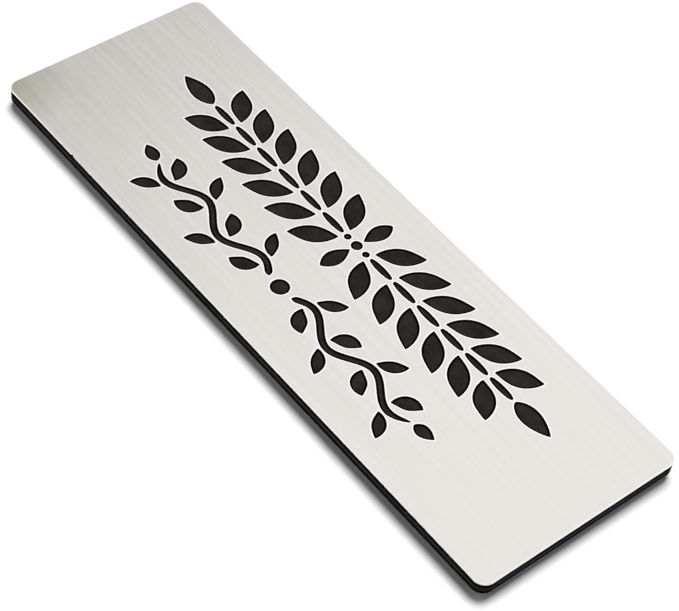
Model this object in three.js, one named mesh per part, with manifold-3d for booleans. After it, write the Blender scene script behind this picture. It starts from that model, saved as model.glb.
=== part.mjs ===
// Name badge: a thin black plate under a brushed silver cap, with ornament engraved through the cap, and a
// fastening strip stuck to the back.
// Millimetres, +Z up. The badge lies face up on its strip. The origin is under the middle of the strip,
// +X runs along the plate and +Y points to its upper edge.
import * as THREE from "three";
import { mergeVertices } from "three/addons/utils/BufferGeometryUtils.js";
import Module from "manifold-3d";

const wasm = await Module();
wasm.setup();

// The plate, in two layers
const plateLength = 76;
const plateWidth = 25;
const cornerRadius = 1.3;
const coreThickness = 1.3;
const capThickness = 0.2;

// The fastening strip on the back, with its adhesive
const stripLength = 45;
const stripWidth = 13;
const stripThickness = 1;
const stripCornerRadius = 1.5;

// The engraved field: a laurel garland above a waving vine
const endMargin = 9; // from the plate's end to the garland's last leaf
const topMargin = 3.7;
const bottomMargin = 3.6;
const rowGap = 1.9;
const garlandShare = 0.6; // of the height that the two rows have together
const vineInset = 6; // from the garland's end back to the vine's end
const stemWidth = 0.8;
const bridge = 0.35; // cap left standing between a stem and its leaves

// Stroke forms. belly is where along the stroke it is widest, roundness blunts its ends as it falls from 1,
// the centre line bends by turn times the share of its length plus sway times that share squared, and
// stations is the number of steps along it.
const strokeForms = {
  leaf: { belly: 0.5, roundness: 0.86, turn: -44, sway: 46, stations: 8 },
  tip: { belly: 0.42, roundness: 0.8, turn: 0, sway: 0, stations: 8 },
  petal: { belly: 0.55, roundness: 0.75, turn: 0, sway: 0, stations: 8 },
  stem: { belly: 0.5, roundness: 0.35, turn: 0, sway: 0, stations: 6 },
  outerSprig: { belly: 0.5, roundness: 0.8, turn: 30, sway: 0, stations: 8 },
  innerSprig: { belly: 0.52, roundness: 0.8, turn: 52, sway: 0, stations: 8 },
};

// The garland's proportions, as shares of its height, but of its pitch for leafAcross
const garlandShares = {
  pitch: 0.38,
  middle: 0.21,
  tipAlong: 0.55,
  tipAcross: 0.23,
  petalFoot: 0.095,
  petalAcross: 0.2,
  middleDot: 0.065,
  sideDot: 0.042,
  sideDotPlace: 0.153,
  leafAcross: 0.63,
  lastRise: 0.78, // the last leaf's rise over the first one's
};
const firstLean = 56; // degrees between the stem and the first leaf
const lastLean = 46;

// The vine's proportions, as shares of its height
const vineShares = {
  bay: 0.62,
  rise: 0.166,
  middle: 0.28,
  middleDot: 0.16,
  endLeafAlong: 0.45,
  endLeafAcross: 0.24,
  blunting: 0.07, // at the stem's inner end
  taper: 0.35, // towards its outer end
};
const endLeafLean = 10;

// Leaves of one bay of the vine: place is a share of the bay, side is 1 outside the bend and -1 inside it,
// lean is the angle off the stem, and along and across are shares of the vine's height.
const sprigs = [
  { form: strokeForms.outerSprig, place: 0.42, side: 1, lean: 20, along: 0.52, across: 0.23 },
  { form: strokeForms.innerSprig, place: 0.3, side: -1, lean: 88, along: 0.52, across: 0.27 },
];

// Sides of the round shapes
const dotSides = 12;
const baySteps = 12;
const cornerSteps = 4;

const coreBottom = stripThickness;
const capBottom = coreBottom + coreThickness;
const rowsHeight = plateWidth - topMargin - bottomMargin - rowGap;
const garlandHeight = rowsHeight * garlandShare;
const garlandY = plateWidth / 2 - topMargin - garlandHeight / 2;
const vineHeight = rowsHeight - garlandHeight;
const vineY = bottomMargin + vineHeight / 2 - plateWidth / 2;
const garlandReach = plateLength / 2 - endMargin;
const vineReach = garlandReach - vineInset;

function point(x, y) {
  return new THREE.Vector2(x, y);
}

function pointAt(start, degrees, distance) {
  const angle = THREE.MathUtils.degToRad(degrees);
  return point(start.x + distance * Math.cos(angle), start.y + distance * Math.sin(angle));
}

// A brush stroke: the closed outline round a bending centre line
function strokeOutline(start, heading, length, width, form) {
  const power = Math.log(0.5) / Math.log(form.belly);
  const directionAt = (share) => heading + form.turn * share + form.sway * share * share;
  const left = [];
  const right = [];
  let centre = start;
  let before = 0;
  for (let k = 0; k <= form.stations; k += 1) {
    const share = (1 - Math.cos((Math.PI * k) / form.stations)) / 2;
    centre = pointAt(centre, directionAt((share + before) / 2), length * (share - before));
    before = share;
    if (k === 0 || k === form.stations) {
      left.push(centre);
      continue;
    }
    const halfWidth = (width / 2) * Math.sin(Math.PI * share ** power) ** form.roundness;
    left.push(pointAt(centre, directionAt(share) + 90, halfWidth));
    right.unshift(pointAt(centre, directionAt(share) - 90, halfWidth));
  }
  return [...left, ...right];
}

function dotOutline(centre, radius) {
  const corners = Array.from({ length: dotSides }, (_, k) => (360 * k) / dotSides);
  return corners.map((degrees) => pointAt(centre, degrees, radius));
}

function mirroredInX(outline) {
  return outline.map((p) => point(-p.x, p.y)).reverse();
}

function mirroredInY(outline, y) {
  return outline.map((p) => point(p.x, 2 * y - p.y)).reverse();
}

// The garland's right half: stem pieces, each with a pair of leaves, and a leaf at the end
function garlandHalf() {
  const start = garlandShares.middle * garlandHeight;
  const run = garlandReach - garlandShares.tipAlong * garlandHeight - start;
  const pairs = Math.max(1, Math.floor(run / (garlandShares.pitch * garlandHeight)));
  const pitch = run / pairs;
  const leafWidth = garlandShares.leafAcross * pitch;
  const leafFoot = stemWidth / 2 + bridge;
  const firstRise = garlandHeight / 2 - leafFoot;
  const meanBend = strokeForms.leaf.turn / 2 + strokeForms.leaf.sway / 3;
  const strokes = [];
  for (let i = 0; i < pairs; i += 1) {
    const x = start + i * pitch;
    const outwards = i / Math.max(1, pairs - 1);
    const lean = THREE.MathUtils.lerp(firstLean, lastLean, outwards);
    const rise = firstRise * THREE.MathUtils.lerp(1, garlandShares.lastRise, outwards ** 2);
    const length = rise / Math.sin(THREE.MathUtils.degToRad(lean + meanBend));
    const leaf = strokeOutline(point(x, garlandY + leafFoot), lean, length, leafWidth, strokeForms.leaf);
    const stemStart = point(x + bridge / 2, garlandY);
    strokes.push(leaf, mirroredInY(leaf, garlandY));
    strokes.push(strokeOutline(stemStart, 0, pitch - bridge, stemWidth, strokeForms.stem));
  }
  const tipStart = point(start + run + bridge / 2, garlandY);
  const tipLength = garlandShares.tipAlong * garlandHeight - bridge / 2;
  const tipWidth = garlandShares.tipAcross * garlandHeight;
  strokes.push(strokeOutline(tipStart, 0, tipLength, tipWidth, strokeForms.tip));
  return strokes;
}

// The garland's middle: two petals round a dot, and a small dot on each side
function garlandMiddle() {
  const petalFoot = garlandShares.petalFoot * garlandHeight;
  const petalLength = garlandHeight / 2 - petalFoot;
  const petalWidth = garlandShares.petalAcross * garlandHeight;
  const petal = strokeOutline(point(0, garlandY + petalFoot), 90, petalLength, petalWidth, strokeForms.petal);
  const middleDot = dotOutline(point(0, garlandY), garlandShares.middleDot * garlandHeight);
  const sidePlace = point(garlandShares.sideDotPlace * garlandHeight, garlandY);
  const sideDot = dotOutline(sidePlace, garlandShares.sideDot * garlandHeight);
  return [petal, mirroredInY(petal, garlandY), middleDot, sideDot, mirroredInX(sideDot)];
}

// The vine's stem follows a sine wave: where its centre line is at x, and which way it runs there
function vineStemAt(x, start, bay) {
  const rise = vineShares.rise * vineHeight;
  const phase = (Math.PI * (x - start)) / bay;
  const slope = (rise * Math.cos(phase) * Math.PI) / bay;
  return {
    centre: point(x, vineY + rise * Math.sin(phase)),
    heading: THREE.MathUtils.radToDeg(Math.atan(slope)),
  };
}

function vineStemOutline(start, bay, bays) {
  const steps = baySteps * bays;
  const end = start + bay * bays;
  const left = [];
  const right = [];
  for (let k = 0; k <= steps; k += 1) {
    const x = start + (k * bay) / baySteps;
    const { centre, heading } = vineStemAt(x, start, bay);
    if (k === 0 || k === steps) {
      left.push(centre);
      continue;
    }
    const fromStart = (x - start) / (vineShares.blunting * vineHeight);
    const fromEnd = (end - x) / (vineShares.taper * vineHeight);
    const halfWidth = (stemWidth / 2) * Math.sqrt(Math.min(1, fromStart, fromEnd));
    left.push(pointAt(centre, heading + 90, halfWidth));
    right.unshift(pointAt(centre, heading - 90, halfWidth));
  }
  return [...left, ...right];
}

// The vine's right half: the stem, two leaves for each bay of it, and a leaf at the end
function vineHalf() {
  const start = vineShares.middle * vineHeight;
  const endLeafReach = vineShares.endLeafAlong * vineHeight;
  const run = vineReach - start - endLeafReach;
  const bays = Math.max(1, Math.floor(run / (vineShares.bay * vineHeight)));
  const bay = run / bays;
  const strokes = [vineStemOutline(start, bay, bays)];
  for (let i = 0; i < bays; i += 1) {
    for (const { form, place, side, lean, along, across } of sprigs) {
      const { centre, heading } = vineStemAt(start + place * bay, start, bay);
      const foot = pointAt(centre, heading + 90 * side, stemWidth / 2 + bridge);
      const leaf = strokeOutline(foot, heading + side * lean, along * vineHeight, across * vineHeight, form);
      const moved = leaf.map((p) => point(p.x + i * bay, p.y));
      strokes.push(i % 2 === 0 ? moved : mirroredInY(moved, vineY));
    }
  }
  const endFoot = point(start + run + bridge, vineY);
  const endLean = bays % 2 === 0 ? endLeafLean : -endLeafLean;
  const endWidth = vineShares.endLeafAcross * vineHeight;
  strokes.push(strokeOutline(endFoot, endLean, endLeafReach - bridge, endWidth, strokeForms.tip));
  return strokes;
}

function engravedStrokes() {
  const rightHalf = [...garlandHalf(), ...vineHalf()];
  const vineDot = dotOutline(point(0, vineY), vineShares.middleDot * vineHeight);
  return [...garlandMiddle(), vineDot, ...rightHalf, ...rightHalf.map(mirroredInX)];
}

function roundedRectangle(length, width, radius) {
  const x = length / 2 - radius;
  const y = width / 2 - radius;
  const quarter = Math.PI / 2;
  const shape = new THREE.Shape();
  shape.absarc(x, y, radius, 0, quarter);
  shape.absarc(-x, y, radius, quarter, 2 * quarter);
  shape.absarc(-x, -y, radius, 2 * quarter, 3 * quarter);
  shape.absarc(x, -y, radius, 3 * quarter, 4 * quarter);
  return shape;
}

function sheetGeometry(shapes, bottom, thickness) {
  const settings = { depth: thickness, bevelEnabled: false, curveSegments: cornerSteps };
  return new THREE.ExtrudeGeometry(shapes, settings).translate(0, 0, bottom);
}

function solidOf(geometry) {
  geometry.deleteAttribute("normal");
  geometry.deleteAttribute("uv");
  const { attributes, index } = mergeVertices(geometry);
  const mesh = { numProp: 3, vertProperties: attributes.position.array, triVerts: index.array };
  return new wasm.Manifold(new wasm.Mesh(mesh));
}

function geometryOf(solid) {
  const { vertProperties, triVerts } = solid.getMesh();
  const geometry = new THREE.BufferGeometry();
  geometry.setAttribute("position", new THREE.BufferAttribute(vertProperties, 3));
  geometry.setIndex(new THREE.BufferAttribute(triVerts, 1));
  const facets = geometry.toNonIndexed();
  facets.computeVertexNormals();
  return facets;
}

// The cap: a sheet with the strokes cut through it by tools that stand out of both of its faces
function engravedCap(plateShape) {
  const strokeShapes = engravedStrokes().map((outline) => new THREE.Shape(outline));
  const sheet = sheetGeometry(plateShape, capBottom, capThickness);
  const cutters = sheetGeometry(strokeShapes, capBottom - capThickness, 3 * capThickness);
  return geometryOf(solidOf(sheet).subtract(solidOf(cutters)));
}

function namedMesh(name, geometry, material) {
  const mesh = new THREE.Mesh(geometry, material);
  mesh.name = name;
  return mesh;
}

const blackPlastic = new THREE.MeshStandardMaterial({ color: 0x1b1918, roughness: 0.6, metalness: 0 });
const brushedSilver = new THREE.MeshStandardMaterial({ color: 0xd6d3cf, roughness: 0.38, metalness: 1 });
const nickelledSteel = new THREE.MeshStandardMaterial({ color: 0xb9b7b2, roughness: 0.3, metalness: 1 });

const plateShape = roundedRectangle(plateLength, plateWidth, cornerRadius);
const stripShape = roundedRectangle(stripLength, stripWidth, stripCornerRadius);

const badge = new THREE.Group();
badge.add(namedMesh("core_sheet", sheetGeometry(plateShape, coreBottom, coreThickness), blackPlastic));
badge.add(namedMesh("brushed_cap", engravedCap(plateShape), brushedSilver));
badge.add(namedMesh("fastening_strip", sheetGeometry(stripShape, 0, stripThickness), nickelledSteel));

export default badge;
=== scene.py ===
import math

import bmesh
import bpy
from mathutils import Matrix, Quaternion, Vector
from mathutils.geometry import delaunay_2d_cdt
from mathutils.kdtree import KDTree


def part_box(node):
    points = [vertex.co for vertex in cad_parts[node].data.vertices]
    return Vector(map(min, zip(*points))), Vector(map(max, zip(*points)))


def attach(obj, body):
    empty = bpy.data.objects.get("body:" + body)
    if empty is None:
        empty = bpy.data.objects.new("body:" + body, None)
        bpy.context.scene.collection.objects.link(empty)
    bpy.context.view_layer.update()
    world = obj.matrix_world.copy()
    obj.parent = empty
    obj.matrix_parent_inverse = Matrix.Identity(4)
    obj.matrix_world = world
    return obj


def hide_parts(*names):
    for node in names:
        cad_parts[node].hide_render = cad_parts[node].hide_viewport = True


# Name badge: brushed silver cap over a black plate, leaf ornament engraved through the cap,
# fastening strip on the back. Shapes are worked out in millimetres, Blender gets metres.
mm = 0.001
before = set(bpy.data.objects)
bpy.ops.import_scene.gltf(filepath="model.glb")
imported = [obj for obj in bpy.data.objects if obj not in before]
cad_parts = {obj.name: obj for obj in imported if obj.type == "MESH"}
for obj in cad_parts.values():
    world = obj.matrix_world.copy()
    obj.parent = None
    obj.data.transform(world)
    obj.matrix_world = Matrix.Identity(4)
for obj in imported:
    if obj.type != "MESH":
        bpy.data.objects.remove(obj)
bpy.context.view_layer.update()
print("frame loaded:", ", ".join(sorted(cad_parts)))


def boxOf(node):  # low corner, high corner and size in mm
    low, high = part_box(node)
    return low / mm, high / mm, (high - low) / mm


capLow, capHigh, capSize = boxOf("brushed_cap")
coreLow, coreHigh, coreSize = boxOf("core_sheet")
stripLow, stripHigh, stripSize = boxOf("fastening_strip")


# Outlines, as lists of (x, y) in mm

def pointAt(start, degrees, distance):
    angle = math.radians(degrees)
    return (start[0] + distance * math.cos(angle), start[1] + distance * math.sin(angle))


def mirrorX(outline):
    return [(-x, y) for x, y in reversed(outline)]


def mirrorY(outline, axisY):
    return [(x, 2 * axisY - y) for x, y in reversed(outline)]


def counterClockwise(outline):
    area = sum(a[0] * b[1] - b[0] * a[1] for a, b in zip(outline, outline[1:] + outline[:1]))
    return outline if area > 0 else outline[::-1]


def roundedRectangle(length, width, radius, cornerSteps=10):
    outline = []
    for quarter, (sideX, sideY) in enumerate([(1, 1), (-1, 1), (-1, -1), (1, -1)]):
        centre = (sideX * (length / 2 - radius), sideY * (width / 2 - radius))
        for k in range(cornerSteps + 1):
            outline.append(pointAt(centre, 90 * (quarter + k / cornerSteps), radius))
    return outline


def offsetOutline(outline, distance, rooms=None, longestMitre=1.25):
    # moves a counter-clockwise outline outwards, with mitred corners; rooms limit how far each point goes
    moved = []
    neighbours = zip(outline[-1:] + outline[:-1], outline, outline[1:] + outline[:1])
    for k, (before, here, after) in enumerate(neighbours):
        one = (Vector(here) - Vector(before)).normalized()
        two = (Vector(after) - Vector(here)).normalized()
        outwards = Vector((one.y + two.y, -one.x - two.x)).normalized()
        mitre = min(math.sqrt(2 / (1 + one.dot(two))), longestMitre)
        reach = min(distance, rooms[k]) if rooms else distance
        moved.append(tuple(Vector(here) + outwards * reach * mitre))
    return moved


def distanceTo(outline, point):
    shortest = math.inf
    for a, b in zip(outline, outline[1:] + outline[:1]):
        side = Vector(b) - Vector(a)
        away = Vector(point) - Vector(a)
        share = min(1, max(0, away.dot(side) / side.length_squared))
        shortest = min(shortest, (away - side * share).length)
    return shortest


def insetOutline(outline, distance, slack=0.998):  # slack forgives rounding
    # moves an outline inwards and leaves out the points that come too near another side
    return [p for p in offsetOutline(outline, -distance) if distanceTo(outline, p) > slack * distance]


# The engraved ornament: a laurel garland above a waving vine, in brush strokes

engraving = {  # mm
    "endMargin": 9,  # plate's end to the garland's last leaf
    "topMargin": 3.7,
    "bottomMargin": 3.6,
    "rowGap": 1.9,
    "garlandShare": 0.6,  # of the height of both rows
    "vineInset": 6,
    "stemWidth": 0.8,
    "bridge": 0.35,  # cap left between a stem and its leaves
}
strokeForms = {  # belly is where along it a stroke is widest, turn and sway bend its course in degrees
    "leaf": {"belly": 0.5, "roundness": 0.86, "turn": -44, "sway": 46},
    "tip": {"belly": 0.42, "roundness": 0.8, "turn": 0, "sway": 0},
    "petal": {"belly": 0.55, "roundness": 0.75, "turn": 0, "sway": 0},
    "stem": {"belly": 0.5, "roundness": 0.35, "turn": 0, "sway": 0},
    "outerSprig": {"belly": 0.5, "roundness": 0.8, "turn": 30, "sway": 0},
    "innerSprig": {"belly": 0.52, "roundness": 0.8, "turn": 52, "sway": 0},
}
garland = {  # shares of the garland's height, leafAcross of its pitch
    "pitch": 0.38,
    "middle": 0.21,
    "tipAlong": 0.55,
    "tipAcross": 0.23,
    "petalFoot": 0.095,
    "petalAcross": 0.2,
    "middleDot": 0.065,
    "sideDot": 0.042,
    "sideDotPlace": 0.153,
    "leafAcross": 0.63,
    "lastRise": 0.78,  # how far the last leaf reaches, as a share of the first one's reach
    "firstLean": 56,  # degrees off the stem, falling to lastLean at the end
    "lastLean": 46,
}
vine = {  # shares of the vine's height
    "bay": 0.62,
    "rise": 0.166,
    "middle": 0.28,
    "middleDot": 0.16,
    "endLeafAlong": 0.45,
    "endLeafAcross": 0.24,
    "blunting": 0.07,
    "taper": 0.35,
    "endLeafLean": 10,  # degrees
    "sprigs": [  # place is a share of the bay, side is 1 above the stem, lean is degrees off it
        {"form": "outerSprig", "place": 0.42, "side": 1, "lean": 20, "along": 0.52, "across": 0.23},
        {"form": "innerSprig", "place": 0.3, "side": -1, "lean": 88, "along": 0.52, "across": 0.27},
    ],
}
strokeSteps = {"stroke": 22, "dot": 28, "bay": 26}  # points along a stroke, round a dot, along a bay

rowsHeight = capSize.y - engraving["topMargin"] - engraving["bottomMargin"] - engraving["rowGap"]
garlandHeight = rowsHeight * engraving["garlandShare"]
garlandY = capSize.y / 2 - engraving["topMargin"] - garlandHeight / 2
vineHeight = rowsHeight - garlandHeight
vineY = engraving["bottomMargin"] + vineHeight / 2 - capSize.y / 2
garlandReach = capSize.x / 2 - engraving["endMargin"]
vineReach = garlandReach - engraving["vineInset"]
leafFoot = engraving["stemWidth"] / 2 + engraving["bridge"]


def strokeOutline(start, heading, length, width, formName):
    form = strokeForms[formName]
    steps = strokeSteps["stroke"]
    power = math.log(0.5) / math.log(form["belly"])
    left, right = [], []
    centre, before = start, 0
    for k in range(steps + 1):
        share = (1 - math.cos(math.pi * k / steps)) / 2
        middle = (share + before) / 2
        course = heading + form["turn"] * middle + form["sway"] * middle ** 2
        centre = pointAt(centre, course, length * (share - before))
        before = share
        if k in (0, steps):
            left.append(centre)
            continue
        course = heading + form["turn"] * share + form["sway"] * share ** 2
        halfWidth = width / 2 * math.sin(math.pi * share ** power) ** form["roundness"]
        left.append(pointAt(centre, course + 90, halfWidth))
        right.insert(0, pointAt(centre, course - 90, halfWidth))
    return left + right


def dotOutline(centre, radius):
    return [pointAt(centre, 360 * k / strokeSteps["dot"], radius) for k in range(strokeSteps["dot"])]


def garlandHalf():
    start = garland["middle"] * garlandHeight
    run = garlandReach - garland["tipAlong"] * garlandHeight - start
    pairs = max(1, math.floor(run / (garland["pitch"] * garlandHeight)))
    pitch = run / pairs
    bridge = engraving["bridge"]
    meanBend = strokeForms["leaf"]["turn"] / 2 + strokeForms["leaf"]["sway"] / 3  # averaged along the leaf
    strokes = []
    for i in range(pairs):
        x = start + i * pitch
        outwards = i / max(1, pairs - 1)
        lean = garland["firstLean"] + (garland["lastLean"] - garland["firstLean"]) * outwards
        rise = (garlandHeight / 2 - leafFoot) * (1 + (garland["lastRise"] - 1) * outwards ** 2)
        length = rise / math.sin(math.radians(lean + meanBend))
        leaf = strokeOutline((x, garlandY + leafFoot), lean, length, garland["leafAcross"] * pitch, "leaf")
        strokes += [leaf, mirrorY(leaf, garlandY)]
        stemStart = (x + bridge / 2, garlandY)
        strokes.append(strokeOutline(stemStart, 0, pitch - bridge, engraving["stemWidth"], "stem"))
    tipLength = garland["tipAlong"] * garlandHeight - bridge / 2
    tipStart = (start + run + bridge / 2, garlandY)
    strokes.append(strokeOutline(tipStart, 0, tipLength, garland["tipAcross"] * garlandHeight, "tip"))
    return strokes


def garlandMiddle():
    foot = garland["petalFoot"] * garlandHeight
    across = garland["petalAcross"] * garlandHeight
    petal = strokeOutline((0, garlandY + foot), 90, garlandHeight / 2 - foot, across, "petal")
    middleDot = dotOutline((0, garlandY), garland["middleDot"] * garlandHeight)
    sideX = garland["sideDotPlace"] * garlandHeight
    sideDot = dotOutline((sideX, garlandY), garland["sideDot"] * garlandHeight)
    return [petal, mirrorY(petal, garlandY), middleDot, sideDot, mirrorX(sideDot)]


def vineStemAt(x, start, bay):  # the stem's centre line is a sine wave
    rise = vine["rise"] * vineHeight
    phase = math.pi * (x - start) / bay
    slope = rise * math.cos(phase) * math.pi / bay
    return (x, vineY + rise * math.sin(phase)), math.degrees(math.atan(slope))


def vineStemOutline(start, bay, bays):  # blunt at its start and tapered at its end
    steps = strokeSteps["bay"] * bays
    end = start + bay * bays
    left, right = [], []
    for k in range(steps + 1):
        x = start + k * bay / strokeSteps["bay"]
        centre, course = vineStemAt(x, start, bay)
        if k in (0, steps):
            left.append(centre)
            continue
        fromStart = (x - start) / (vine["blunting"] * vineHeight)
        fromEnd = (end - x) / (vine["taper"] * vineHeight)
        halfWidth = engraving["stemWidth"] / 2 * math.sqrt(min(1, fromStart, fromEnd))
        left.append(pointAt(centre, course + 90, halfWidth))
        right.insert(0, pointAt(centre, course - 90, halfWidth))
    return left + right


def vineHalf():
    start = vine["middle"] * vineHeight
    endLeafReach = vine["endLeafAlong"] * vineHeight
    run = vineReach - start - endLeafReach
    bays = max(1, math.floor(run / (vine["bay"] * vineHeight)))
    bay = run / bays
    strokes = [vineStemOutline(start, bay, bays)]
    for i in range(bays):
        for sprig in vine["sprigs"]:
            centre, course = vineStemAt(start + sprig["place"] * bay, start, bay)
            foot = pointAt(centre, course + 90 * sprig["side"], leafFoot)
            lean = course + sprig["side"] * sprig["lean"]
            along, across = sprig["along"] * vineHeight, sprig["across"] * vineHeight
            leaf = strokeOutline(foot, lean, along, across, sprig["form"])
            moved = [(x + i * bay, y) for x, y in leaf]
            strokes.append(moved if i % 2 == 0 else mirrorY(moved, vineY))
    endFoot = (start + run + engraving["bridge"], vineY)
    endLean = vine["endLeafLean"] if bays % 2 == 0 else -vine["endLeafLean"]
    endLength = endLeafReach - engraving["bridge"]
    strokes.append(strokeOutline(endFoot, endLean, endLength, vine["endLeafAcross"] * vineHeight, "tip"))
    return strokes


def engravedStrokes():
    rightHalf = garlandHalf() + vineHalf()
    vineDot = dotOutline((0, vineY), vine["middleDot"] * vineHeight)
    strokes = garlandMiddle() + [vineDot] + rightHalf + [mirrorX(s) for s in rightHalf]
    return [counterClockwise(s) for s in strokes]


def roomsRound(strokes, share=0.4):
    # how far each point of each stroke can move out before it nears the next stroke
    owners = [i for i, stroke in enumerate(strokes) for _ in stroke]
    tree = KDTree(len(owners))
    for k, (x, y) in enumerate(p for stroke in strokes for p in stroke):
        tree.insert((x, y, 0), k)
    tree.balance()
    return [[share * tree.find((x, y, 0), filter=lambda k: owners[k] != i)[2] for x, y in stroke]
            for i, stroke in enumerate(strokes)]


# Solids from outlines: each outline is carried up a profile of (offset, height, finish) rows

def ringOf(bm, outline, height):
    return [bm.verts.new((x * mm, y * mm, height * mm)) for x, y in outline]


def carryUp(bm, outline, profile, rooms=None):
    rings = []
    for offset, height, finish in profile:
        ring = ringOf(bm, offsetOutline(outline, offset, rooms), height)
        if rings:
            below = rings[-1]
            for a in range(len(ring)):
                b = (a + 1) % len(ring)
                face = bm.faces.new((below[a], below[b], ring[b], ring[a]))
                face.material_index = finish
                face.smooth = True
        rings.append(ring)
    return rings[0], rings[-1]


def fillFlat(bm, loops, finish):  # loops inside the first are holes
    verts = [v for loop in loops for v in loop]
    borders, first = [], 0
    for loop in loops:
        borders.append(list(range(first, first + len(loop))))
        first += len(loop)
    flat = [v.co.xy / mm for v in verts]
    insideWithHoles, tolerance = 2, 1e-7
    _, _, triangles, sources, _, _ = delaunay_2d_cdt(flat, [], borders, insideWithHoles, tolerance)
    for corners in triangles:
        face = bm.faces.new([verts[sources[corner][0]] for corner in corners])
        face.material_index = finish


def roundedRim(inwards, top, radius, finish, steps=4):
    # a quarter round from a wall up to a face; inwards is -1 on an outer edge and 1 round a hole
    rows = []
    for k in range(steps + 1):
        angle = math.pi / 2 * k / steps
        offset = inwards * radius * (1 - math.cos(angle))
        rows.append((offset, top - radius + radius * math.sin(angle), finish))
    return rows


def roundedFoot(bottom, radius, finish):
    # the quarter round of an outer edge turned over, from a lower face up to the wall
    rim = roundedRim(-1, bottom + radius, radius, finish)
    return [(offset, bottom + radius - (height - bottom), finish) for offset, height, _ in reversed(rim)]


def finishPiece(name, bm, finishes, node):
    bmesh.ops.recalc_face_normals(bm, faces=bm.faces)
    mesh = bpy.data.meshes.new(name)
    bm.to_mesh(mesh)
    bm.free()
    for finish in finishes:
        mesh.materials.append(finish)
    grainMap = mesh.uv_layers.new(name="grain")  # gives the brushing its direction
    for loop in mesh.loops:
        place = mesh.vertices[loop.vertex_index].co
        grainMap.data[loop.index].uv = (place.x / mm / capSize.x, place.y / mm / capSize.x)
    piece = bpy.data.objects.new(name, mesh)
    bpy.context.scene.collection.objects.link(piece)
    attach(piece, "root")
    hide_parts(node)
    print(f"{name}: {len(mesh.polygons)} faces")
    return piece


# Finishes

def addNode(tree, kind, inputs=None, **settings):
    made = tree.nodes.new("ShaderNode" + kind)
    for key, value in settings.items():
        setattr(made, key, value)
    for key, value in (inputs or {}).items():
        if isinstance(value, bpy.types.NodeSocket):
            tree.links.new(value, made.inputs[key])
        else:
            made.inputs[key].default_value = value
    return made


def startFinish(name, base):
    material = bpy.data.materials.new(name)
    material.use_nodes = True
    tree = material.node_tree
    shader = tree.nodes["Principled BSDF"]
    for key, value in base.items():
        shader.inputs[key].default_value = value
    return material, tree, shader


def stretchedNoise(tree, cell, detail=3, roughness=0.55):
    # noise whose grains measure about cell, in mm along x, y and z
    place = addNode(tree, "TexCoord").outputs["Object"]
    scale = [1 / (size * mm) for size in cell]
    spread = addNode(tree, "Mapping", {"Vector": place, "Scale": scale})
    settings = {"Vector": spread.outputs["Vector"], "Scale": 1, "Detail": detail, "Roughness": roughness}
    return addNode(tree, "TexNoise", settings).outputs["Fac"]


def between(tree, value, low, high, fromLow=0.3, fromHigh=0.7):  # most of a noise lies from 0.3 to 0.7
    settings = {"Value": value, "From Min": fromLow, "From Max": fromHigh, "To Min": low, "To Max": high}
    return addNode(tree, "MapRange", settings).outputs["Result"]


mixSockets = {"FLOAT": (2, 3, 0), "RGBA": (6, 7, 2)}  # a Mix node's two inputs and its output, by number


def mixNode(tree, kind, share, one, other, **settings):
    first, second, result = mixSockets[kind]
    mix = addNode(tree, "Mix", {0: share, first: one, second: other}, data_type=kind, **settings)
    return mix.outputs[result]


def mixed(tree, one, other, share):  # one value with a share of another
    return mixNode(tree, "FLOAT", share, one, other)


def shades(tree, value, dark, light):
    return mixNode(tree, "RGBA", value, (*dark, 1), (*light, 1))


def paintedSheenBand(tree, low, high, reach):
    # 1 halfway between two heights, and 0 beyond a share of the way from there to them; it places the
    # painted sheen on the plate's edge
    place = addNode(tree, "TexCoord").outputs["Object"]
    height = addNode(tree, "SeparateXYZ", {"Vector": place}).outputs["Z"]
    above = addNode(tree, "Math", {0: height, 1: (low + high) / 2 * mm}, operation="SUBTRACT").outputs[0]
    away = addNode(tree, "Math", {0: above}, operation="ABSOLUTE").outputs[0]
    return between(tree, away, 1, 0, 0, reach * (high - low) / 2 * mm)


def fadedAlong(tree, value, atLeft, atRight, middle=0.5):
    # brings a value nearer its middle, by a contrast that changes along the plate
    place = addNode(tree, "TexCoord").outputs["Object"]
    along = addNode(tree, "SeparateXYZ", {"Vector": place}).outputs["X"]
    contrast = between(tree, along, atLeft, atRight, capLow.x * mm, capHigh.x * mm)
    centred = addNode(tree, "Math", {0: value, 1: middle}, operation="SUBTRACT").outputs[0]
    return addNode(tree, "Math", {0: centred, 1: contrast, 2: middle}, operation="MULTIPLY_ADD").outputs[0]


def cornerShaded(tree, colour, reach, tint):  # painted shade: a darker, yellower tint that fades out from the cap's lower left corner
    place = addNode(tree, "TexCoord").outputs["Object"]
    corner = (capLow.x * mm, capLow.y * mm, capHigh.z * mm)
    away = addNode(tree, "VectorMath", {0: place, 1: corner}, operation="DISTANCE").outputs["Value"]
    strength = between(tree, away, 1, 0, 0, reach * mm)
    return mixNode(tree, "RGBA", strength, colour, (*tint, 1), blend_type="MULTIPLY")


def relief(tree, shader, height, depth):  # depth in mm
    bump = addNode(tree, "Bump", {"Height": height, "Strength": 1, "Distance": depth * mm})
    tree.links.new(bump.outputs["Normal"], shader.inputs["Normal"])


def finishFrom(name, look):
    # one noise gives the tone, the gloss and, where the look has a depth, the relief
    material, tree, shader = startFinish(name, look["base"])
    noise = stretchedNoise(tree, look["cell"], look["detail"])
    tone = shades(tree, between(tree, noise, 0, 1), look["dark"], look["light"])
    tree.links.new(tone, shader.inputs["Base Color"])
    tree.links.new(between(tree, noise, *look["roughness"]), shader.inputs["Roughness"])
    if "depth" in look:
        relief(tree, shader, noise, look["depth"])
    return material


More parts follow.
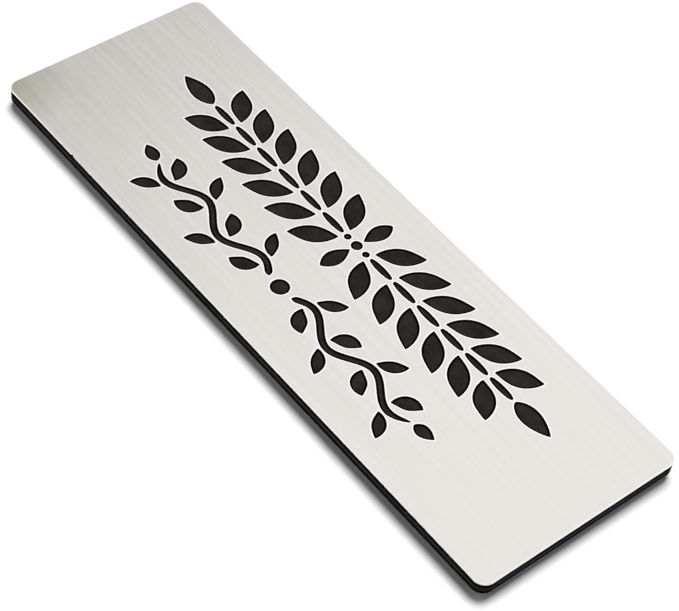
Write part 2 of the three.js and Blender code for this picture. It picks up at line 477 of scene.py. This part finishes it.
silver = {
    "base": {"Metallic": 1, "Anisotropic": 0.55, "Anisotropic Rotation": 0.25},
    "dark": (0.585, 0.571, 0.535),
    "light": (0.763, 0.745, 0.737),
    "contrast": (0.85, 0.28),  # how clear the grain is at the left and the right end; the grain is real, its stronger contrast at the left is painted reflection
    "cornerShadeReach": 7,  # mm round the lower left corner, over which the painted shade fades out
    "cornerShadeTint": (0.69, 0.69, 0.57),
    "grainCell": (4, 0.17, 0.5),  # mm along and across the brushing
    "streakCell": (26, 0.6, 0.5),
    "streakShare": 0.5,
    "roughness": (0.32, 0.38),
    "grainDepth": 0.006,
}


def brushedSilver():
    material, tree, shader = startFinish("brushedSilver", silver["base"])
    grain = stretchedNoise(tree, silver["grainCell"], detail=4, roughness=0.7)
    streak = stretchedNoise(tree, silver["streakCell"], detail=2)
    both = mixed(tree, grain, streak, silver["streakShare"])
    # painted reflection: the grain's light and dark grow stronger towards the left end
    grainTone = fadedAlong(tree, between(tree, both, 0, 1), *silver["contrast"])
    unshadedTone = shades(tree, grainTone, silver["dark"], silver["light"])
    # painted shade towards the lower left corner
    tone = cornerShaded(tree, unshadedTone, silver["cornerShadeReach"], silver["cornerShadeTint"])
    tree.links.new(tone, shader.inputs["Base Color"])
    tree.links.new(between(tree, grain, *silver["roughness"]), shader.inputs["Roughness"])
    tangent = addNode(tree, "Tangent", direction_type="UV_MAP", uv_map="grain")
    tree.links.new(tangent.outputs["Tangent"], shader.inputs["Tangent"])
    relief(tree, shader, grain, silver["grainDepth"])
    return material


# Painted highlight: the cap's rim and the halo round each stroke are coloured lighter than the face
paintedHighlight = {
    "cell": (0.8, 0.3, 0.3),
    "detail": 3,
    "roughness": (0.3, 0.42),
}
paintedHighlightTones = {
    "rim": {  # the cap's sawn edge, coloured lighter than the face as a painted highlight
        "base": {"Metallic": 1},
        "dark": (0.94, 0.935, 0.92),
        "light": (1.0, 0.995, 0.98),
    },
    "halo": {  # painted highlight: the bright line round each stroke
        "base": {"Metallic": 0.6, "Specular IOR Level": 0.2},
        "dark": (0.85, 0.845, 0.83),
        "light": (0.94, 0.935, 0.92),
    },
}


def paintedHighlightSilver(place):
    return finishFrom(place, {**paintedHighlight, **paintedHighlightTones[place]})


# Painted shade: the cut walls and the border of the engraving's floor are nearly black, standing in for
# the shade in the recess
cutLook = {
    "base": {"Specular IOR Level": 0.005},
    "dark": (0.0003, 0.0003, 0.0003),
    "light": (0.0015, 0.0014, 0.0013),
    "cell": (0.2, 0.2, 0.2),
    "detail": 3,
    "roughness": (0.7, 0.9),
}


def recessShadeCut():
    return finishFrom("recessShadeCut", cutLook)


engravedLook = {
    "base": {"Specular IOR Level": 0.1},
    "dark": (0.0008, 0.0006, 0.0005),
    "light": (0.0245, 0.021, 0.0193),
    "rasterCell": (1.6, 0.09, 0.5),  # the cutter's passes run along the plate
    "cloudCell": (1.5, 1.5, 1.5),
    "cloudShare": 0.5,
    "roughness": (0.5, 0.66),
    "rasterDepth": 0.008,
}


def engravedFloor():
    material, tree, shader = startFinish("engravedFloor", engravedLook["base"])
    raster = stretchedNoise(tree, engravedLook["rasterCell"], detail=2)
    cloud = stretchedNoise(tree, engravedLook["cloudCell"])
    both = mixed(tree, raster, cloud, engravedLook["cloudShare"])
    tone = shades(tree, between(tree, both, 0, 1), engravedLook["dark"], engravedLook["light"])
    tree.links.new(tone, shader.inputs["Base Color"])
    tree.links.new(between(tree, raster, *engravedLook["roughness"]), shader.inputs["Roughness"])
    relief(tree, shader, raster, engravedLook["rasterDepth"])
    return material


sawnLook = {
    "base": {"Specular IOR Level": 0.002},
    "dark": (0.003, 0.0029, 0.0028),
    "light": (0.05, 0.048, 0.044),
    "sawCell": (0.12, 0.12, 2.5),  # upright marks of the saw on the plate's edges
    "cloudCell": (2.2, 2.2, 0.7),
    "cloudShare": 0.5,
    "sheenReach": 0.5,  # share of the edge's height that its painted sheen, a lighter middle, takes
    "marksInSheen": (0.45, 1.5),  # how much darker and lighter the saw marks make the painted sheen
    "roughness": (0.42, 0.6),
    "sawDepth": 0.012,
}


def sawnPlastic():
    material, tree, shader = startFinish("sawnPlastic", sawnLook["base"])
    saw = stretchedNoise(tree, sawnLook["sawCell"], detail=3, roughness=0.7)
    cloud = stretchedNoise(tree, sawnLook["cloudCell"])
    marks = between(tree, mixed(tree, saw, cloud, sawnLook["cloudShare"]), 0, 1)
    # painted sheen: the edge is lighter in the middle of its height and darker at its top and bottom
    middle = paintedSheenBand(tree, coreLow.z, coreHigh.z, sawnLook["sheenReach"])
    strength = between(tree, marks, *sawnLook["marksInSheen"], 0, 1)
    sawn = addNode(tree, "Math", {0: middle, 1: strength}, operation="MULTIPLY").outputs[0]
    tone = shades(tree, sawn, sawnLook["dark"], sawnLook["light"])
    tree.links.new(tone, shader.inputs["Base Color"])
    tree.links.new(between(tree, cloud, *sawnLook["roughness"]), shader.inputs["Roughness"])
    relief(tree, shader, saw, sawnLook["sawDepth"])
    return material


backLook = {
    "base": {"Specular IOR Level": 0.3},
    "dark": (0.006, 0.0058, 0.0056),
    "light": (0.013, 0.0126, 0.0122),
    "cell": (0.25, 0.25, 0.25),
    "detail": 3,
    "roughness": (0.38, 0.55),
    "depth": 0.012,
}


def plasticBack():
    return finishFrom("plasticBack", backLook)


steelLook = {
    "base": {"Metallic": 1},
    "dark": (0.58, 0.57, 0.54),
    "light": (0.72, 0.71, 0.68),
    "cell": (5, 0.25, 0.4),
    "detail": 3,
    "roughness": (0.24, 0.36),
    "depth": 0.003,
}


def nickelledSteel():
    return finishFrom("nickelledSteel", steelLook)


padLook = {
    "base": {"Specular IOR Level": 0.2},
    "dark": (0.035, 0.035, 0.036),
    "light": (0.075, 0.075, 0.077),
    "cell": (0.12, 0.12, 0.12),
    "detail": 2,
    "roughness": (0.8, 0.95),
    "depth": 0.03,
}


def adhesivePad():
    return finishFrom("adhesivePad", padLook)


# The pieces

cap = {  # mm
    "cornerRadius": 1.3,
    "edgeRound": 0.05,
    "strokeRound": 0.03,
    "strokeBand": 0.1,  # width of the painted highlight round each stroke
}
nick = {  # in the cap's lower long edge, mm
    "x": -25.9,
    "width": 0.34,
    "depth": 0.1,
    "footLeft": 1 / 2,  # ends of its floor, as shares of half its width
    "footRight": 1 / 3,
}


def nickedOutline():
    outline = roundedRectangle(capSize.x, capSize.y, cap["cornerRadius"])
    edge, half = -capSize.y / 2, nick["width"] / 2
    notch = [
        (nick["x"] - half, edge),
        (nick["x"] - half * nick["footLeft"], edge + nick["depth"]),
        (nick["x"] + half * nick["footRight"], edge + nick["depth"]),
        (nick["x"] + half, edge),
    ]
    beforeLastCorner = 3 * len(outline) // 4  # the lower edge runs from the third corner to the last
    return outline[:beforeLastCorner] + notch + outline[beforeLastCorner:]


def makeCap(strokes):
    face, rim, halo, recessShade = 0, 1, 2, 3
    bm = bmesh.new()
    profile = [(0, capLow.z, rim)] + roundedRim(-1, capHigh.z, cap["edgeRound"], rim)
    lower, upper = carryUp(bm, nickedOutline(), profile)
    lowers, uppers = [lower], [upper]
    for stroke, rooms in zip(strokes, roomsRound(strokes)):
        # the stroke's cut walls get painted shade
        profile = [(0, capLow.z, recessShade), (0, capHigh.z - cap["strokeRound"], recessShade)]
        profile += roundedRim(1, capHigh.z, cap["strokeRound"], halo)[1:]
        profile.append((cap["strokeRound"] + cap["strokeBand"], capHigh.z, halo))
        lower, upper = carryUp(bm, stroke, profile, rooms)
        lowers.append(lower)
        uppers.append(upper)
    fillFlat(bm, lowers, face)
    fillFlat(bm, uppers, face)
    finishes = [brushedSilver(), paintedHighlightSilver("rim"), paintedHighlightSilver("halo"), recessShadeCut()]
    return finishPiece("engraved_cap", bm, finishes, "brushed_cap")


core = {  # mm
    "cornerRadius": 1.3,
    "edgeRound": 0.05,
    "engravingDepth": 0.09,  # from the cap's face down to the engraving's floor
    "engravingGap": 0.01,  # between that floor's sides and the cap
    "shadeBandWidth": 0.22,  # painted shade, a darker border of that floor
}


def makeCore(strokes):
    edge, back, recessShade, engraved = 0, 1, 2, 3
    bm = bmesh.new()
    outline = roundedRectangle(coreSize.x, coreSize.y, core["cornerRadius"])
    profile = roundedFoot(coreLow.z, core["edgeRound"], edge) + [(0, coreHigh.z, edge)]
    lower, upper = carryUp(bm, outline, profile)
    uppers = [upper]
    gap, floorZ = core["engravingGap"], capHigh.z - core["engravingDepth"]
    for stroke in strokes:
        foot, floor = carryUp(bm, stroke, [(-gap, coreHigh.z, recessShade), (-gap, floorZ, recessShade)])
        middle = ringOf(bm, insetOutline(stroke, core["shadeBandWidth"]), floorZ)
        # painted shade round the floor's border
        fillFlat(bm, [floor, middle], recessShade)
        fillFlat(bm, [middle], engraved)
        uppers.append(foot)
    fillFlat(bm, [lower], back)
    fillFlat(bm, uppers, back)
    finishes = [sawnPlastic(), plasticBack(), recessShadeCut(), engravedFloor()]
    return finishPiece("black_core", bm, finishes, "core_sheet")


strip = {  # mm
    "cornerRadius": 1.5,
    "padThickness": 0.35,
    "padInset": 0.12,  # from the steel's upper rim in to the pad
    "edgeRound": 0.15,
}


def makeStrip():
    steel, pad = 0, 1
    bm = bmesh.new()
    outline = roundedRectangle(stripSize.x, stripSize.y, strip["cornerRadius"])
    radius, padLow = strip["edgeRound"], stripHigh.z - strip["padThickness"]
    padEdge = -strip["padInset"] - radius
    profile = roundedFoot(stripLow.z, radius, steel) + roundedRim(-1, padLow, radius, steel)
    profile += [(padEdge, padLow, steel), (padEdge, stripHigh.z, pad)]
    lower, upper = carryUp(bm, outline, profile)
    fillFlat(bm, [lower], steel)
    fillFlat(bm, [upper], pad)
    finishes = [nickelledSteel(), adhesivePad()]
    return finishPiece("back_strip", bm, finishes, "fastening_strip")


strokes = engravedStrokes()
print("ornament:", len(strokes), "strokes")
makeCap(strokes)
makeCore(strokes)
makeStrip()

# Studio: pale floor, a soft key from above, a soft box for the metal to mirror, small lights for the
# near edges, and a dim dome

studio = {  # metres and watts
    "floorBase": {"Base Color": (0.9, 0.9, 0.9, 1), "Roughness": 0.9, "Specular IOR Level": 0.1},
    "floorSize": 6.0,
    "keyFrom": (-0.088, 0.127, 0.57),  # only its direction counts
    "keySpread": 28,  # degrees across, which sets how soft the shadow is
    "keyPower": 3.4,  # watts per square metre
    "boxPlace": (-0.154, 0.4, 0.68),
    "boxSize": 0.84,
    "boxPower": 1.44,
    "fillPlace": (0.45, -0.45, 0.4),
    "fillSize": 0.4,
    "fillPower": 0.12,
    "cardPlaces": [(-0.33, -0.33, 0.32), (0.37, 0.37, 0.3)],  # each lights one near edge of the plate
    "cardSize": 0.4,
    "cardPower": 0.6,
    "domeColour": (0.54, 0.532, 0.525, 1),
}


def makeFloor():
    half = studio["floorSize"] / 2
    mesh = bpy.data.meshes.new("floor")
    corners = [(-half, -half, 0), (half, -half, 0), (half, half, 0), (-half, half, 0)]
    mesh.from_pydata(corners, [], [(0, 1, 2, 3)])
    floor = bpy.data.objects.new("floor", mesh)
    bpy.context.scene.collection.objects.link(floor)
    material, _, _ = startFinish("paleFloor", studio["floorBase"])
    mesh.materials.append(material)


def makeLight(name, kind, place, power):  # aimed at the badge
    data = bpy.data.lights.new(name, kind)
    data.energy = power
    light = bpy.data.objects.new(name, data)
    light.location = place
    light.rotation_mode = "QUATERNION"
    light.rotation_quaternion = (-Vector(place)).to_track_quat("-Z", "Y")
    bpy.context.scene.collection.objects.link(light)
    return light


def makeSoftLight(name, place, size, power):
    light = makeLight(name, "AREA", place, power)
    light.data.shape = "DISK"
    light.data.size = size
    return light


def makeKey():  # a wide sun, so that the floor is as pale far away as it is near the badge
    light = makeLight("keyLight", "SUN", studio["keyFrom"], studio["keyPower"])
    light.data.angle = math.radians(studio["keySpread"])
    light.visible_glossy = False  # it shapes the shadow, and the metal doesn't mirror it


def makeMirrorBox():
    light = makeSoftLight("mirrorBox", studio["boxPlace"], studio["boxSize"], studio["boxPower"])
    light.visible_diffuse = False  # the metal mirrors it, and it doesn't soften the shadow


def makeDome():
    world = bpy.data.worlds.new("dome")
    bpy.context.scene.world = world
    world.use_nodes = True
    world.node_tree.nodes["Background"].inputs["Color"].default_value = studio["domeColour"]
    world.cycles_visibility.diffuse = False  # the dome shows in the metal but doesn't fill the shadow


makeFloor()
makeKey()
makeMirrorBox()
makeSoftLight("fillLight", studio["fillPlace"], studio["fillSize"], studio["fillPower"])
for place in studio["cardPlaces"]:
    makeSoftLight("edgeCard", place, studio["cardSize"], studio["cardPower"])
makeDome()
bpy.context.scene.view_settings.view_transform = "Standard"
print("studio ready")

# Camera, at the photograph's angle

shot = {
    "aim": (5.16, -2.36),  # where the middle of the picture lies on the face, mm
    "azimuth": 44.0,  # degrees, as are the next one and the roll
    "elevation": 49.24,
    "distance": 211.8,  # mm
    "roll": 9.22,
    "lens": 114.9,  # mm
    "clip": (0.01, 20),  # metres
}


def makeCamera():
    data = bpy.data.cameras.new("camera")
    data.lens = shot["lens"]
    data.clip_start, data.clip_end = shot["clip"]
    camera = bpy.data.objects.new("camera", data)
    turn, tilt = math.radians(shot["azimuth"]), math.radians(shot["elevation"])
    back = Vector((math.sin(turn) * math.cos(tilt), -math.cos(turn) * math.cos(tilt), math.sin(tilt)))
    aim = Vector((*shot["aim"], capHigh.z))
    camera.location = (aim + back * shot["distance"]) * mm
    camera.rotation_mode = "QUATERNION"
    level = (-back).to_track_quat("-Z", "Y")
    camera.rotation_quaternion = level @ Quaternion((0, 0, 1), math.radians(shot["roll"]))
    bpy.context.scene.collection.objects.link(camera)
    bpy.context.scene.camera = camera


makeCamera()
print("camera ready")
